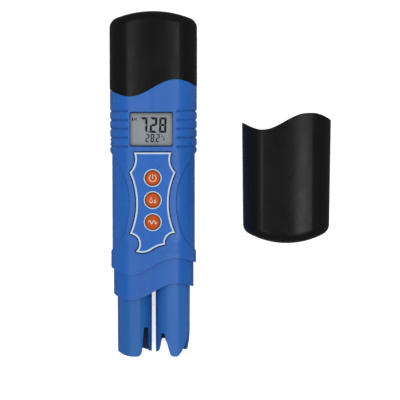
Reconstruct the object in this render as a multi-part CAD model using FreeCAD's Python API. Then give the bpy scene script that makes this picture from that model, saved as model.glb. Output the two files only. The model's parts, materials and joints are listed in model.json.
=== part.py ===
import FreeCAD, Part
import math
import os

# pH test pen with its protective cap lying beside it. Millimetres.
# +X is to the reader's right, +Y runs up the pen to the battery cap, +Z comes out of the display.
# The pen lies on its back: the origin is on the back, level with the middle button's lower edge.

# ---- driving dimensions -------------------------------------------------------------------------
# Cross-section: a flattened oval of two side arcs and two shallow face arcs.
# Every shell of the pen is this oval, moved in or out by an offset.
SIDE_RADIUS = 12.2
SIDE_CENTRE_X = 9.4
FACE_CENTRE_DEPTH = 43.7
AXIS_Z = 12.6

# The S-shaped edges that all the shells share
WAVE_AMPLITUDE = 4.2
WAVE_CREST_X = 11.6
WAVE_PERIOD = 46.0
SEAM_GAP = 0.15

# Lengths along the pen: mean heights of the S-shaped edges, and the ends
PEN_TOP_Y = 93.8
BATTERY_CAP_EDGE_Y = 55.8
HOUSING_EDGE_Y = -32.2
COLLAR_EDGE_Y = -44.9
GUARD_TIP_Y = -77.6

# Offsets of the shells from the oval
BATTERY_CAP_OFFSET = 0.15
BATTERY_CAP_WALL = 2.1
HOUSING_WALL = 2.0
HOUSING_FLARE_OFFSET = -0.35
WAIST_OFFSET = -1.0
NECK_OFFSET = -2.3
NECK_WALL = 1.6
COLLAR_OFFSET = -1.65
COLLAR_WALL = 1.7
SPIGOT_OFFSET = -2.15
SPIGOT_WALL = 1.6
SEAL_THICKNESS = 1.5
SEAL_FIT = 0.1
NECK_SEAL_Y = 62.0
MODULE_SEAL_Y = -22.0

# Housing
SHOULDER_Y = 48.6
NECK_TOP_Y = 80.0
FLARE_START_Y = -20.0
FLARE_END_Y = -26.0
SPIGOT_TOP_Y = -18.0
SPIGOT_FOOT_Y = -38.0
GROOVE_COUNT = 5
GROOVE_TOP_Y = 44.3
GROOVE_PITCH = 4.37
GROOVE_WIDTH = 1.9
GROOVE_DEPTH = 0.65
GROOVE_LIP = 0.1
GROOVE_LEFT_X = -12.2
GROOVE_RIGHT_X = 11.7
SCOOP_FILLET = 0.7
SCOOP_EDGE = [(22.6, 25.6), (15.4, 15.0), (12.3, 6.0), (12.1, -6.0), (15.0, -17.4), (22.6, -26.2)]
SCOOP_SPAN_X = (11.0, 21.5)
SCOOP_SPAN_Y = (-25.5, 25.0)

# Display
WINDOW_WIDTH = 21.1
WINDOW_HEIGHT = 16.2
WINDOW_X = -0.65
WINDOW_Y = 35.4
WINDOW_CORNER = 0.9
WINDOW_TOP_Z = 24.5
WINDOW_THICKNESS = 1.2
LCD_WIDTH = 25.0
LCD_HEIGHT = 20.8
LCD_BOTTOM_Z = 20.4
LCD_THICKNESS = 1.6
LCD_FIT = 0.05
LCD_LIP = 0.65
LCD_FRAME_CORNER = 0.5
LCD_WELL_MARGIN_X = 1.2
LCD_WELL_MARGIN_Y = 0.8
STRIP_HALF_LENGTH = 10.5
STRIP_HALF_WIDTH = 0.9
STRIP_INSET = 2.0

# Label and buttons
LABEL_RECESS = 0.45
LABEL_PROUD = 0.06
BORDER_PROUD = 0.14
BORDER_WIDTH = 0.95
LABEL_GAP = 0.28
LABEL_ARCS = [
    ((9.4, 24.2), (8.75, 19.6), (11.4, 14.3)),
    ((11.4, 14.3), (7.95, -0.8), (11.2, -15.7)),
    ((11.2, -15.7), (7.1, -17.4), (6.3, -21.4)),
    ((6.3, -21.4), (3.1, -22.0), (0.0, -23.5)),
    ((0.0, -23.5), (-4.2, -25.3), (-8.6, -24.7)),
    ((-8.6, -24.7), (-7.1, -19.0), (-11.5, -16.1)),
    ((-11.5, -16.1), (-8.2, -0.8), (-11.5, 14.3)),
    ((-11.5, 14.3), (-8.75, 19.6), (-9.4, 24.2)),
]
BUTTON_PITCH = 10.85
BUTTON_MIDDLE_Y = 0.7
BUTTON_RADIUS = 3.85
BUTTON_CLEARANCE = 0.1
BUTTON_RING_WIDTH = 0.55
BUTTON_TOP_Z = 26.15
BUTTON_FLANGE_RADIUS = 5.1
BUTTON_FLANGE_Z = (22.5, 23.35)
BUTTON_STEM_RADIUS = 1.5
BUTTON_FILLET = 0.35
BUTTON_STEM_GAP = 0.03

# Electronics
BOARD_HALF_WIDTH = 15.8
BOARD_Y = (-15.0, 47.8)
BOARD_Z = (16.4, 18.0)
CHASSIS_HALF_WIDTH = 13.8
CHASSIS_Y = (-15.0, 55.9)
CHASSIS_Z = (13.0, 14.6)
CHASSIS_WINDOW_HALF_WIDTH = 9.0
CHASSIS_WINDOW_Y = (26.0, 46.0)
CHASSIS_RAIL_WIDTH = 1.5
CHASSIS_RAIL_DEPTH = 6.5
POST_RADIUS = 2.1
SCREW_X = 12.4
SCREW_Y = (-12.0, 19.0)
SCREW_HOLE_RADIUS = 1.05
SCREW_SHANK_RADIUS = 1.0
SCREW_SHANK_GAP = 0.1
SCREW_HEAD_RADIUS = 1.9
SCREW_HEAD_HEIGHT = 1.2
SCREW_SLOT_HALF_WIDTH = 0.25
SCREW_SLOT_FLOOR = 0.6
CONTROLLER_HALF_WIDTH = 3.5
CONTROLLER_Y = (16.0, 23.0)
CONTROLLER_HEIGHT = 1.2
AMPLIFIER_X = (-10.0, -6.0)
AMPLIFIER_Y = (2.0, 7.0)
AMPLIFIER_HEIGHT = 1.1
CHIP_COLUMNS = 4
CHIP_ROWS = 3
CHIP_START = (4.5, 2.0)
CHIP_PITCH = (2.6, 3.6)
CHIP_SIZE = (1.2, 2.0)
CHIP_HEIGHT = 0.6
SNAP_DOME_RADIUS = 3.5
SNAP_DOME_HEIGHT = 0.7
SNAP_DOME_SHEET = 0.15

# Batteries: four button cells side by side across the pen
CELL_RADIUS = 5.8
CELL_LENGTH = 5.3
CELL_PITCH = 5.4
CELL_COUNT = 4
CELL_Y = 71.0
HOLDER_Y = (56.0, 83.0)
CHANNEL_HALF_LENGTH = 13.8
CELL_FIT = 0.1
CELL_FACE_STEP = 0.5
CELL_FACE_MARGIN = 1.0
CELL_FILLET = 0.35
HOLDER_FIT = 0.15
TAB_HALF_WIDTH = 6.0
TAB_HALF_THICKNESS = 1.2
TAB_HEIGHT = 2.0
TAB_FILLET = 0.6
CONTACT_X = 13.5
CONTACT_HALF_LENGTH = 4.0
CONTACT_THICKNESS = 0.4
SPRING_SHEET = 0.3
SPRING_HALF_WIDTH = 2.0
SPRING_GAP = 0.2

# Electrodes and their guards
GUARD_X = 9.52
GUARD_RADIUS = 8.65
GUARD_TIP_RADIUS = 8.5
GUARD_WALL = 1.5
GUARD_TOP_Y = -34.0
NOTCH_CORNER = 0.6
NOTCH_FOOT = 2.4
SIDE_FOOT = 0.9
NOTCH_SLOPE = 0.1
NOTCH_REACH = 14.0
NOTCH_DROP = 4.0
ELECTRODE_RADIUS = 6.0
ELECTRODE_FILLET = 0.8
ELECTRODE_TOP_Y = -22.0
CARRIER_TOP_Y = -20.0
PH_STEM_END_Y = -62.0
ORP_STEM_END_Y = -67.2
BULB_RADIUS = 4.4
BULB_Y = -64.8
BULB_NECK_RADIUS = 3.2
BULB_NECK_LENGTH = 3.0
BULB_SOCKET_DEPTH = 1.8
BULB_SOCKET_FIT = 0.1
PH_JUNCTION_RADIUS = 0.5
PH_JUNCTION_DEPTH = 5.2
ORP_JUNCTION_RADIUS = 0.8
ORP_JUNCTION_RISE = 2.6
JUNCTION_LENGTH = 2.0
PH_JUNCTION_PROUD = 0.3
ORP_JUNCTION_PROUD = 0.2
PLATINUM_RADIUS = 0.9
PLATINUM_X = GUARD_X - 2.6
PLATINUM_PROUD = 1.2
PLATINUM_DEPTH = 2.0
PLATINUM_FILLET = 0.5
PROBE_RADIUS = 1.1
PROBE_X = GUARD_X + 2.6
PROBE_SINK_Z = 1.0
PROBE_PROUD = 1.4
PROBE_DEPTH = 3.0
PROBE_FILLET = 0.7
PIN_COUNT = 5
PIN_PITCH = 2.0
PIN_RADIUS = 0.4
PIN_DEPTH = 1.8
PIN_LENGTH = 11.8
PIN_HOLE_FIT = 0.05
PIN_HOLE_LENGTH = 6.0
SOCKET_HALF_WIDTH = 6.0
SOCKET_Y = (-14.5, -7.5)
SOCKET_Z = (CHASSIS_Z[1] + BOARD_Z[0]) / 2

# Protective cap, lying beside the pen
CAP_X = 66.2
CAP_AXIS_Z = 13.6
CAP_EDGE_Y = 39.3
CAP_BOTTOM_Y = -21.4
CAP_RIM_OFFSET = 0.6
CAP_END_OFFSET = -0.25
CAP_WALL = 1.7
CAP_DOME_RADIUS = 39.0
BATTERY_CAP_DOME_RADIUS = 50.0
DOME_FILLET = 5.2
DOME_SPARE = 2.0

PEN = (0.0, AXIS_Z)
CAP = (CAP_X, CAP_AXIS_Z)
ALONG = FreeCAD.Vector(0, 1, 0)
FRONT = FreeCAD.Vector(0, 0, 1)
RIGHT = FreeCAD.Vector(1, 0, 0)
FAR = 40.0
CLEAR = 1.0
TINY = 0.01
WAVE_STEPS = 24


def vec(x, y, z):
    return FreeCAD.Vector(x, y, z)


# ---- shared shapes ------------------------------------------------------------------------------
def section(offset, y, centre=PEN):
    """The oval outline at height y, moved outwards by offset."""
    centre_x, centre_z = centre
    radius = SIDE_RADIUS + offset
    reach = math.hypot(SIDE_CENTRE_X, FACE_CENTRE_DEPTH)
    joint_x = SIDE_CENTRE_X * (1 + radius / reach)
    joint_z = FACE_CENTRE_DEPTH * radius / reach
    crown = radius + reach - FACE_CENTRE_DEPTH
    side = SIDE_CENTRE_X + radius
    corners = [(-joint_x, joint_z), (joint_x, joint_z), (joint_x, -joint_z), (-joint_x, -joint_z)]
    middles = [(0, crown), (side, 0), (0, -crown), (-side, 0)]
    edges = []
    for index, middle in enumerate(middles):
        ends = (corners[index], middle, corners[(index + 1) % 4])
        points = [vec(centre_x + x, y, centre_z + z) for x, z in ends]
        edges.append(Part.Arc(*points).toShape())
    return Part.Wire(edges)


def barrel(offset, low_y, high_y, centre=PEN):
    """A straight length of the oval."""
    return Part.Face(section(offset, low_y, centre)).extrude(ALONG * (high_y - low_y))


def taper(low_offset, low_y, high_offset, high_y, centre=PEN):
    """A length of the oval whose offset changes evenly from end to end."""
    wires = [section(low_offset, low_y, centre), section(high_offset, high_y, centre)]
    return Part.makeLoft(wires, True, True)


def box(x_range, y_range, z_range):
    size = [high - low for low, high in (x_range, y_range, z_range)]
    return Part.makeBox(*size, vec(x_range[0], y_range[0], z_range[0]))


def rod(radius, centre, length, direction):
    return Part.makeCylinder(radius, length, centre, direction)


def rounded_box(half_width, half_height, corner, centre_y, z_range):
    """A plate with rounded corners, centred on the pen."""
    low_z, high_z = z_range
    plate = box((-half_width, half_width), (centre_y - half_height, centre_y + half_height), z_range)
    upright = [e for e in plate.Edges if abs(e.tangentAt(e.FirstParameter).z) > 0.9]
    return plate.makeFillet(corner, upright)


def wave_side(mean_y, reach_y, centre_x=0.0):
    """Everything between the S-shaped edge and a line reach_y beyond it, from front to back."""
    left = -0.6 * WAVE_PERIOD
    points = []
    for step in range(WAVE_STEPS + 1):
        x = left - 2 * left * step / WAVE_STEPS
        y = mean_y + WAVE_AMPLITUDE * math.cos(2 * math.pi * (x - WAVE_CREST_X) / WAVE_PERIOD)
        points.append(vec(centre_x + x, y, -FAR / 4))
    curve = Part.BSplineCurve()
    curve.interpolate(points)
    far_left = vec(points[0].x, mean_y + reach_y, -FAR / 4)
    far_right = vec(points[-1].x, mean_y + reach_y, -FAR / 4)
    sides = [
        curve.toShape(),
        Part.makeLine(points[-1], far_right),
        Part.makeLine(far_right, far_left),
        Part.makeLine(far_left, points[0]),
    ]
    return Part.Face(Part.Wire(sides)).extrude(FRONT * 1.5 * FAR)


def above_wave(mean_y, centre_x=0.0):
    return wave_side(mean_y, 2.5 * FAR, centre_x)


def below_wave(mean_y, centre_x=0.0):
    return wave_side(mean_y, -2.5 * FAR, centre_x)


def rest_flat(shape):
    """Takes off what would be under the surface that the pen rests on."""
    under = box((-FAR, CAP_X + FAR), (-3 * FAR, 3 * FAR), (-FAR, 0))
    return shape.cut(under)


def domed(shape, apex_y, radius, centre, inwards, fillet):
    """Rounds one end of a shell with a shallow dome and a soft edge; inwards is +1 or -1 in Y."""
    centre_x, centre_z = centre
    ball = Part.makeSphere(radius, vec(centre_x, apex_y + inwards * radius, centre_z))
    shape = shape.common(ball)
    dome = [f for f in shape.Faces if isinstance(f.Surface, Part.Sphere)]
    edges = [e for face in dome for e in face.Edges if not e.Degenerated]
    rim = [e for e in edges if e.Length > CLEAR and not e.isClosed()]
    return shape.makeFillet(fillet, rim)


def seal_ring(outer_offset, thickness, y):
    """A rubber ring of round section that follows the oval."""
    path = section(outer_offset - thickness / 2, y)
    start = path.Edges[0].valueAt(path.Edges[0].FirstParameter)
    tangent = path.Edges[0].tangentAt(path.Edges[0].FirstParameter)
    circle = Part.Wire(Part.makeCircle(thickness / 2, start, tangent))
    return path.makePipeShell([circle], True, False)


def seal_groove(outer_offset, thickness, y):
    """The square groove that a seal ring sits in."""
    low_y = y - thickness / 2
    high_y = y + thickness / 2
    return barrel(outer_offset + CLEAR, low_y, high_y).cut(barrel(outer_offset - thickness, low_y, high_y))


# ---- battery cap --------------------------------------------------------------------------------
def battery_cap():
    outside = barrel(BATTERY_CAP_OFFSET, BATTERY_CAP_EDGE_Y - 2 * WAVE_AMPLITUDE, PEN_TOP_Y + DOME_SPARE)
    outside = domed(outside, PEN_TOP_Y, BATTERY_CAP_DOME_RADIUS, PEN, -1, DOME_FILLET)
    inner_top = PEN_TOP_Y - BATTERY_CAP_WALL
    inside = barrel(BATTERY_CAP_OFFSET - BATTERY_CAP_WALL, SHOULDER_Y - FAR / 4, inner_top + DOME_SPARE)
    inside_radius = BATTERY_CAP_DOME_RADIUS - BATTERY_CAP_WALL
    inside = domed(inside, inner_top, inside_radius, PEN, -1, DOME_FILLET - BATTERY_CAP_WALL)
    cap = outside.cut(inside).common(above_wave(BATTERY_CAP_EDGE_Y))
    return rest_flat(cap)


# ---- housing ------------------------------------------------------------------------------------
def housing_outside():
    """The blue shell before anything is hollowed or cut out of it."""
    grip = barrel(0, FLARE_START_Y, BATTERY_CAP_EDGE_Y + 2 * WAVE_AMPLITUDE)
    flare = taper(HOUSING_FLARE_OFFSET, FLARE_END_Y, 0, FLARE_START_Y)
    skirt = barrel(HOUSING_FLARE_OFFSET, HOUSING_EDGE_Y - 2 * WAVE_AMPLITUDE, FLARE_END_Y)
    shell = grip.fuse([flare, skirt])
    shell = shell.cut(above_wave(BATTERY_CAP_EDGE_Y - SEAM_GAP))
    return shell.common(above_wave(HOUSING_EDGE_Y))


def scoop_cutter(side):
    """The recess for the fingers on one side, with an edge like a round bracket."""
    points = [vec(side * x, y, -FAR / 4) for x, y in SCOOP_EDGE]
    curve = Part.BSplineCurve()
    curve.interpolate(points)
    top = vec(side * FAR, points[0].y, -FAR / 4)
    bottom = vec(side * FAR, points[-1].y, -FAR / 4)
    sides = [
        curve.toShape(),
        Part.makeLine(points[-1], bottom),
        Part.makeLine(bottom, top),
        Part.makeLine(top, points[0]),
    ]
    region = Part.Face(Part.Wire(sides)).extrude(FRONT * 1.5 * FAR)
    return region.cut(barrel(WAIST_OFFSET, -FAR, FAR))


def grip_grooves():
    """The cutters for the V-shaped grooves round both sides of the grip."""
    cutters = []
    half = GROOVE_WIDTH / 2
    for index in range(GROOVE_COUNT):
        y = GROOVE_TOP_Y - index * GROOVE_PITCH
        below = taper(GROOVE_LIP, y - half, -GROOVE_DEPTH, y)
        above = taper(-GROOVE_DEPTH, y, GROOVE_LIP, y + half)
        for x_range in ((-FAR, GROOVE_LEFT_X), (GROOVE_RIGHT_X, FAR)):
            slab = box(x_range, (y - half, y + half), (-FAR / 4, FAR))
            cutters.append(slab.cut([below, above]))
    return cutters


def soften_scoops(shell):
    """Rounds the long edges where the scoops leave the front and the back."""
    edges = []
    low_x, high_x = SCOOP_SPAN_X
    low_y, high_y = SCOOP_SPAN_Y
    for edge in shell.Edges:
        middle = edge.valueAt((edge.FirstParameter + edge.LastParameter) / 2)
        along = edge.BoundBox.YLength > 2 * CLEAR and edge.BoundBox.XLength > TINY
        near = low_x < abs(middle.x) < high_x and low_y < middle.y < high_y
        height = abs(middle.z - AXIS_Z)
        probe = section(WAIST_OFFSET / 2, middle.y)
        on_floor = Part.Face(probe).isInside(middle, TINY / 100, True)
        if along and near and height > CLEAR and not on_floor:
            edges.append(edge)
    return shell.makeFillet(SCOOP_FILLET, edges)


def main_housing():
    shell = housing_outside()
    for side in (-1, 1):
        shell = shell.cut(scoop_cutter(side))
    shell = soften_scoops(shell)
    shell = shell.cut(grip_grooves())
    neck = barrel(NECK_OFFSET, SHOULDER_Y, NECK_TOP_Y)
    shell = shell.fuse(neck)
    cavity = barrel(-HOUSING_WALL, -1.5 * FAR, SHOULDER_Y)
    neck_cavity = barrel(NECK_OFFSET - NECK_WALL, SHOULDER_Y - CLEAR, NECK_TOP_Y + CLEAR)
    shell = shell.cut([cavity, neck_cavity, seal_groove(NECK_OFFSET, SEAL_THICKNESS, NECK_SEAL_Y)])
    shell = shell.cut(label_prism(LABEL_GAP).cut(barrel(-LABEL_RECESS, -FAR, FAR)))
    shell = shell.cut(window_prism(0, (AXIS_Z, FAR)))
    for y in button_heights():
        hole = rod(BUTTON_RADIUS + BUTTON_CLEARANCE, vec(0, y, AXIS_Z), FAR, FRONT)
        shell = shell.cut(hole)
    return rest_flat(shell)


def neck_seal():
    outer_offset = BATTERY_CAP_OFFSET - BATTERY_CAP_WALL - SEAL_FIT
    return seal_ring(outer_offset, SEAL_THICKNESS, NECK_SEAL_Y)


# ---- label, window and buttons ------------------------------------------------------------------
def label_outline(z):
    """The emblem-shaped edge of the label: straight top, four points and an S-shaped foot."""
    edges = [Part.Arc(*[vec(x, y, z) for x, y in arc]).toShape() for arc in LABEL_ARCS]
    top_left = LABEL_ARCS[-1][-1]
    top_right = LABEL_ARCS[0][0]
    top = Part.makeLine(vec(*top_left, z), vec(*top_right, z))
    return Part.Wire(edges + [top])


def label_prism(grow):
    """The label's outline, moved outwards by grow, from the axis to well above the front."""
    face = Part.Face(label_outline(AXIS_Z))
    if grow != 0:
        face = face.makeOffset2D(grow)
    return face.extrude(FRONT * FAR)


def skin(low_offset, high_offset):
    """The thin layer of the front between two offsets."""
    return barrel(high_offset, -FAR, FAR).cut(barrel(low_offset, -FAR, FAR))


def label_panel():
    panel = label_prism(-BORDER_WIDTH).common(skin(-LABEL_RECESS, LABEL_PROUD))
    hole_radius = BUTTON_RADIUS + BUTTON_CLEARANCE + BUTTON_RING_WIDTH
    for y in button_heights():
        panel = panel.cut(rod(hole_radius, vec(0, y, AXIS_Z), FAR, FRONT))
    return panel


def label_border():
    ring = label_prism(0).cut(label_prism(-BORDER_WIDTH))
    return ring.common(skin(-LABEL_RECESS, BORDER_PROUD))


def button_rings():
    """Three pale rings, one round each button."""
    hole_radius = BUTTON_RADIUS + BUTTON_CLEARANCE
    rings = []
    for y in button_heights():
        disc = rod(hole_radius + BUTTON_RING_WIDTH, vec(0, y, AXIS_Z), FAR, FRONT)
        hole = rod(hole_radius, vec(0, y, AXIS_Z), FAR, FRONT)
        rings.append(disc.cut(hole).common(skin(-LABEL_RECESS, BORDER_PROUD)))
    return Part.makeCompound(rings)


def window_prism(clearance, z_range):
    half_width = WINDOW_WIDTH / 2 - clearance
    half_height = WINDOW_HEIGHT / 2 - clearance
    prism = rounded_box(half_width, half_height, WINDOW_CORNER, WINDOW_Y, z_range)
    prism.translate(vec(WINDOW_X, 0, 0))
    return prism


def lcd_window():
    return window_prism(LCD_FIT, (WINDOW_TOP_Z - WINDOW_THICKNESS, WINDOW_TOP_Z))


def button_heights():
    """Centres of the three buttons, from the top down."""
    return [BUTTON_MIDDLE_Y + BUTTON_PITCH * step for step in (1, 0, -1)]


def button(y):
    """A round key with a soft crown, a flange inside the housing and a stem to its snap dome."""
    flange_low, flange_high = BUTTON_FLANGE_Z
    stem_low = BOARD_Z[1] + SNAP_DOME_HEIGHT + BUTTON_STEM_GAP
    crown = rod(BUTTON_RADIUS, vec(0, y, flange_low), BUTTON_TOP_Z - flange_low, FRONT)
    top = max(crown.Faces, key=lambda face: face.CenterOfMass.z)
    crown = crown.makeFillet(BUTTON_FILLET, top.Edges)
    flange = rod(BUTTON_FLANGE_RADIUS, vec(0, y, flange_low), flange_high - flange_low, FRONT)
    stem = rod(BUTTON_STEM_RADIUS, vec(0, y, stem_low), flange_low - stem_low, FRONT)
    return crown.fuse([flange, stem]).removeSplitter()


def snap_dome(y):
    """A thin sprung disc on the board, which its button pushes flat."""
    radius = (SNAP_DOME_RADIUS ** 2 + SNAP_DOME_HEIGHT ** 2) / (2 * SNAP_DOME_HEIGHT)
    board_top = BOARD_Z[1]
    centre = vec(0, y, board_top + SNAP_DOME_HEIGHT - radius)
    ball = Part.makeSphere(radius, centre).cut(Part.makeSphere(radius - SNAP_DOME_SHEET, centre))
    return ball.common(rod(2 * SNAP_DOME_RADIUS, vec(0, y, board_top), radius, FRONT))


# ---- display and electronics --------------------------------------------------------------------
def lcd_panel():
    x_range = (-LCD_WIDTH / 2, LCD_WIDTH / 2)
    y_range = (WINDOW_Y - LCD_HEIGHT / 2, WINDOW_Y + LCD_HEIGHT / 2)
    return box(x_range, y_range, (LCD_BOTTOM_Z, LCD_BOTTOM_Z + LCD_THICKNESS))


def lcd_holder():
    """The frame on the board that the display rests in."""
    board_top = BOARD_Z[1]
    half_width = LCD_WIDTH / 2
    half_height = LCD_HEIGHT / 2
    frame_z = (board_top, LCD_BOTTOM_Z + LCD_LIP)
    frame = rounded_box(half_width + LCD_LIP, half_height + LCD_LIP, LCD_FRAME_CORNER, WINDOW_Y, frame_z)
    seat_x = (-half_width - LCD_FIT, half_width + LCD_FIT)
    seat_y = (WINDOW_Y - half_height - LCD_FIT, WINDOW_Y + half_height + LCD_FIT)
    seat = box(seat_x, seat_y, (LCD_BOTTOM_Z, FAR))
    well_width = half_width - LCD_WELL_MARGIN_X
    well_height = half_height - LCD_WELL_MARGIN_Y
    well = rounded_box(well_width, well_height, LCD_FRAME_CORNER, WINDOW_Y, (board_top - CLEAR, FAR))
    return frame.cut([seat, well])


def lcd_contact_strips():
    """Two rubber strips that join the display to the board."""
    strips = []
    for side in (-1, 1):
        y = WINDOW_Y + side * (LCD_HEIGHT / 2 - STRIP_INSET)
        y_range = (y - STRIP_HALF_WIDTH, y + STRIP_HALF_WIDTH)
        strips.append(box((-STRIP_HALF_LENGTH, STRIP_HALF_LENGTH), y_range, (BOARD_Z[1], LCD_BOTTOM_Z)))
    return Part.makeCompound(strips)


def screw_points(z):
    return [vec(side * SCREW_X, y, z) for side in (-1, 1) for y in SCREW_Y]


def main_board():
    board = box((-BOARD_HALF_WIDTH, BOARD_HALF_WIDTH), BOARD_Y, BOARD_Z)
    points = screw_points(BOARD_Z[0] - CLEAR)
    return board.cut([rod(SCREW_HOLE_RADIUS, point, FAR, FRONT) for point in points])


def board_screws():
    """Four small pan-head screws that hold the board to the chassis."""
    screws = []
    low_z = CHASSIS_Z[1] + SCREW_SHANK_GAP
    head_z = BOARD_Z[1]
    for point in screw_points(low_z):
        shank = rod(SCREW_SHANK_RADIUS, point, head_z - low_z, FRONT)
        head = rod(SCREW_HEAD_RADIUS, vec(point.x, point.y, head_z), SCREW_HEAD_HEIGHT, FRONT)
        slot_x = (point.x - 2 * SCREW_HEAD_RADIUS, point.x + 2 * SCREW_HEAD_RADIUS)
        slot_y = (point.y - SCREW_SLOT_HALF_WIDTH, point.y + SCREW_SLOT_HALF_WIDTH)
        slot = box(slot_x, slot_y, (head_z + SCREW_SLOT_FLOOR, FAR))
        screws.append(shank.fuse(head).cut(slot))
    return Part.makeCompound(screws)


def microcontroller():
    x_range = (-CONTROLLER_HALF_WIDTH, CONTROLLER_HALF_WIDTH)
    return box(x_range, CONTROLLER_Y, (BOARD_Z[0] - CONTROLLER_HEIGHT, BOARD_Z[0]))


def board_components():
    """Resistors, capacitors and an amplifier chip under the board."""
    under = BOARD_Z[0]
    parts = [box(AMPLIFIER_X, AMPLIFIER_Y, (under - AMPLIFIER_HEIGHT, under))]
    width, height = CHIP_SIZE
    for column in range(CHIP_COLUMNS):
        for row in range(CHIP_ROWS):
            x = CHIP_START[0] + CHIP_PITCH[0] * column
            y = CHIP_START[1] + CHIP_PITCH[1] * row
            parts.append(box((x, x + width), (y, y + height), (under - CHIP_HEIGHT, under)))
    return Part.makeCompound(parts)


def chassis():
    """The inner plate that carries the board, with a post under each screw and two side rails."""
    low_z, high_z = CHASSIS_Z
    plate = box((-CHASSIS_HALF_WIDTH, CHASSIS_HALF_WIDTH), CHASSIS_Y, CHASSIS_Z)
    posts = []
    for point in screw_points(high_z):
        posts.append(rod(POST_RADIUS, point, BOARD_Z[0] - high_z, FRONT))
    rails = []
    for side in (-1, 1):
        x_range = sorted((side * (CHASSIS_HALF_WIDTH - CHASSIS_RAIL_WIDTH), side * CHASSIS_HALF_WIDTH))
        rails.append(box(x_range, CHASSIS_Y, (low_z - CHASSIS_RAIL_DEPTH, low_z)))
    frame = plate.fuse(posts + rails)
    window_x = (-CHASSIS_WINDOW_HALF_WIDTH, CHASSIS_WINDOW_HALF_WIDTH)
    window = box(window_x, CHASSIS_WINDOW_Y, (low_z - CLEAR, high_z + CLEAR))
    holes = [rod(SCREW_HOLE_RADIUS, point, FAR, FRONT) for point in screw_points(high_z)]
    return frame.cut([window] + holes)


def pin_positions():
    return [(index - (PIN_COUNT - 1) / 2) * PIN_PITCH for index in range(PIN_COUNT)]


def board_socket():
    """The socket under the foot of the board that takes the electrode module's pins."""
    low_y = SOCKET_Y[0]
    body = box((-SOCKET_HALF_WIDTH, SOCKET_HALF_WIDTH), SOCKET_Y, (CHASSIS_Z[1], BOARD_Z[0]))
    holes = []
    for x in pin_positions():
        start = vec(x, low_y - CLEAR, SOCKET_Z)
        holes.append(rod(PIN_RADIUS + PIN_HOLE_FIT, start, PIN_HOLE_LENGTH + CLEAR, ALONG))
    return body.cut(holes)


# ---- batteries ----------------------------------------------------------------------------------
def battery_cell(index):
    """A button cell: a can with a smaller raised negative face."""
    x = (index - (CELL_COUNT - 1) / 2) * CELL_PITCH
    start = vec(x - CELL_LENGTH / 2, CELL_Y, AXIS_Z)
    can = rod(CELL_RADIUS, start, CELL_LENGTH - CELL_FACE_STEP, RIGHT)
    can = can.makeFillet(CELL_FILLET, [e for e in can.Edges if isinstance(e.Curve, Part.Circle)])
    face = rod(CELL_RADIUS - CELL_FACE_MARGIN, start, CELL_LENGTH, RIGHT)
    return can.fuse(face)


def battery_holder():
    """The block in the neck that holds the four cells, with a pull tab on top."""
    tab_y = HOLDER_Y[1]
    block = barrel(NECK_OFFSET - NECK_WALL - HOLDER_FIT, HOLDER_Y[0], tab_y - TAB_HEIGHT)
    tab = rounded_tab(tab_y)
    reach = CHANNEL_HALF_LENGTH
    channel_radius = CELL_RADIUS + CELL_FIT
    channel = rod(channel_radius, vec(-reach, CELL_Y, AXIS_Z), 2 * reach, RIGHT)
    mouth_y = (CELL_Y - channel_radius, CELL_Y + channel_radius)
    mouth = box((-reach, reach), mouth_y, (AXIS_Z, FAR))
    return block.fuse(tab).cut([channel, mouth])


def rounded_tab(top_y):
    z_range = (AXIS_Z - TAB_HALF_THICKNESS, AXIS_Z + TAB_HALF_THICKNESS)
    tab = box((-TAB_HALF_WIDTH, TAB_HALF_WIDTH), (top_y - TAB_HEIGHT, top_y), z_range)
    corners = [e for e in tab.Edges if abs(e.CenterOfMass.y - top_y) < TINY]
    return tab.makeFillet(TAB_FILLET, corners)


def battery_plate():
    """The flat positive contact at the right end of the cells."""
    reach = CONTACT_HALF_LENGTH
    x_range = (CONTACT_X - CONTACT_THICKNESS, CONTACT_X)
    return box(x_range, (CELL_Y - reach, CELL_Y + reach), (AXIS_Z - reach, AXIS_Z + reach))


def battery_spring():
    """The bent leaf that presses the cells towards the plate."""
    low_z = AXIS_Z - SPRING_HALF_WIDTH
    crest_x = -CELL_COUNT * CELL_PITCH / 2 - SPRING_GAP
    foot = vec(-CONTACT_X, CELL_Y - CONTACT_HALF_LENGTH, low_z)
    crest = vec(crest_x, CELL_Y, low_z)
    head = vec(-CONTACT_X, CELL_Y + CONTACT_HALF_LENGTH, low_z)
    bow = Part.Arc(foot, crest, head).toShape()
    strip = Part.Face(bow.makeOffset2D(SPRING_SHEET, 0, True, True, False))
    return strip.extrude(FRONT * 2 * SPRING_HALF_WIDTH)


# ---- electrode module ---------------------------------------------------------------------------
def collar():
    """The blue band under the housing, with the spigot that plugs up into it."""
    band = barrel(COLLAR_OFFSET, COLLAR_EDGE_Y - 2 * WAVE_AMPLITUDE, HOUSING_EDGE_Y + 2 * WAVE_AMPLITUDE)
    band = band.common(below_wave(HOUSING_EDGE_Y - SEAM_GAP))
    band = band.common(above_wave(COLLAR_EDGE_Y))
    band = band.cut(barrel(COLLAR_OFFSET - COLLAR_WALL, -2 * FAR, FAR))
    spigot = barrel(SPIGOT_OFFSET, SPIGOT_FOOT_Y, SPIGOT_TOP_Y)
    spigot = spigot.cut(barrel(SPIGOT_OFFSET - SPIGOT_WALL, GUARD_TOP_Y, FAR))
    spigot = spigot.cut(barrel(COLLAR_OFFSET - COLLAR_WALL, -2 * FAR, GUARD_TOP_Y))
    spigot = spigot.cut(seal_groove(SPIGOT_OFFSET, SEAL_THICKNESS, MODULE_SEAL_Y))
    return band.fuse(spigot).removeSplitter()


def module_seal():
    outer_offset = -HOUSING_WALL - SEAL_FIT
    return seal_ring(outer_offset, SEAL_THICKNESS, MODULE_SEAL_Y)


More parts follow.
